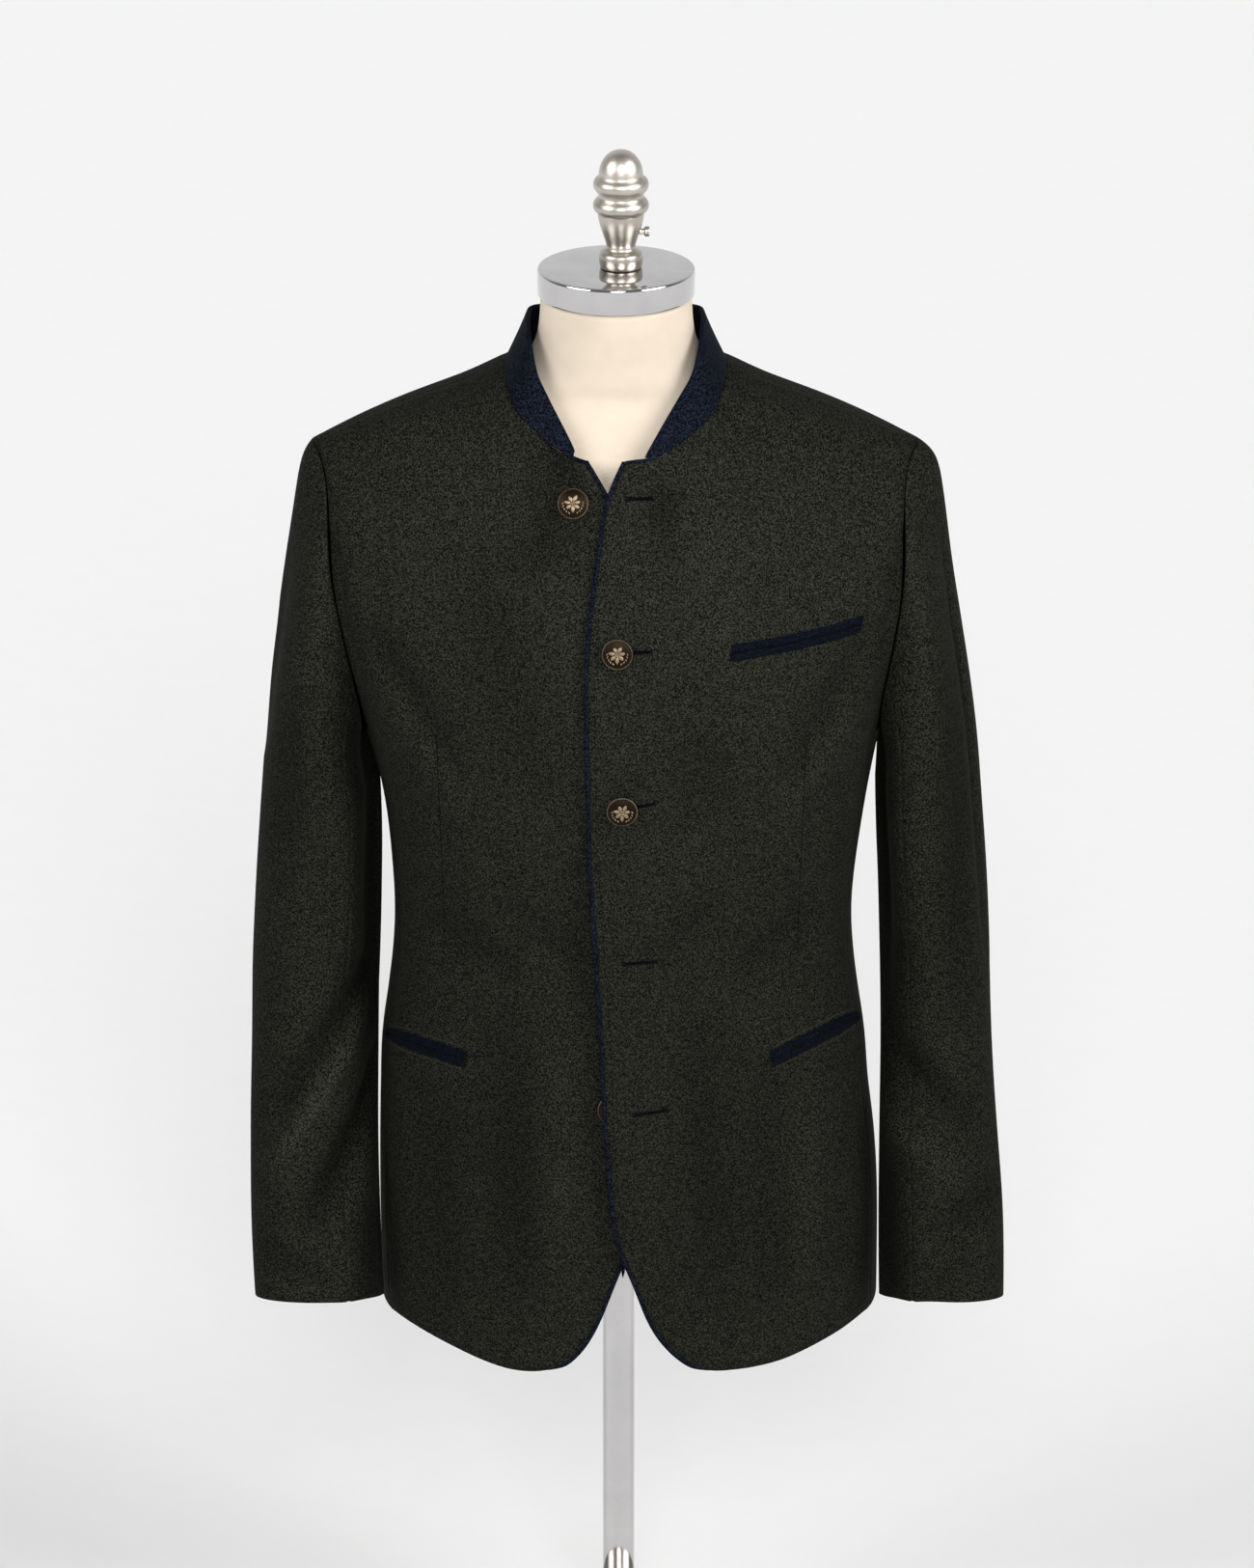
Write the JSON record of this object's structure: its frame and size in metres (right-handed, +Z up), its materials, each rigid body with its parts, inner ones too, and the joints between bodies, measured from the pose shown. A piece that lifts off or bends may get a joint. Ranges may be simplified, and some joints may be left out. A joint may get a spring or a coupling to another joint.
{
  "type": "tyrolean loden jacket on a dress form",
  "caption": "Hip-length tyrolean loden jacket with a stand collar, domed metal buttons and piped pockets, worn by a limbless dress form on a round base.",
  "frame": {"origin": "middle of the base's underside, on the surface that it stands on", "axes": "+Z up, -Y towards the jacket's front, +X towards the wearer's left"},
  "size_m": [0.5624, 0.3, 1.205],
  "materials": {
    "loden": "dark green-grey milled wool loden, soft nap",
    "navy_felt": "dark navy wool felt, matte",
    "antique_brass": "antique brass, cast relief",
    "linen": "natural linen cover",
    "chrome": "polished",
    "nickel": "satin nickel plate"
  },
  "bodies": {
    "root": {"back_left": "loden", "back_right": "loden", "base": "nickel", "button_1": "antique_brass", "button_2": "antique_brass", "button_3": "antique_brass", "button_4": "antique_brass", "button_5": "antique_brass", "collar": "navy_felt", "finial": "nickel", "finial_screw": "nickel", "form_torso": "linen", "front_left": "loden", "front_right": "loden", "neck_cap": "chrome", "piping_left": "navy_felt", "piping_right": "navy_felt", "pocket_chest_lower": "navy_felt", "pocket_chest_upper": "navy_felt", "pocket_left_lower": "navy_felt", "pocket_left_upper": "navy_felt", "pocket_right_lower": "navy_felt", "pocket_right_upper": "navy_felt", "pole": "chrome", "side_left": "loden", "side_right": "loden", "sleeve_under_left": "loden", "sleeve_under_right": "loden", "sleeve_upper_left": "loden", "sleeve_upper_right": "loden"}
  },
  "joints": []
}
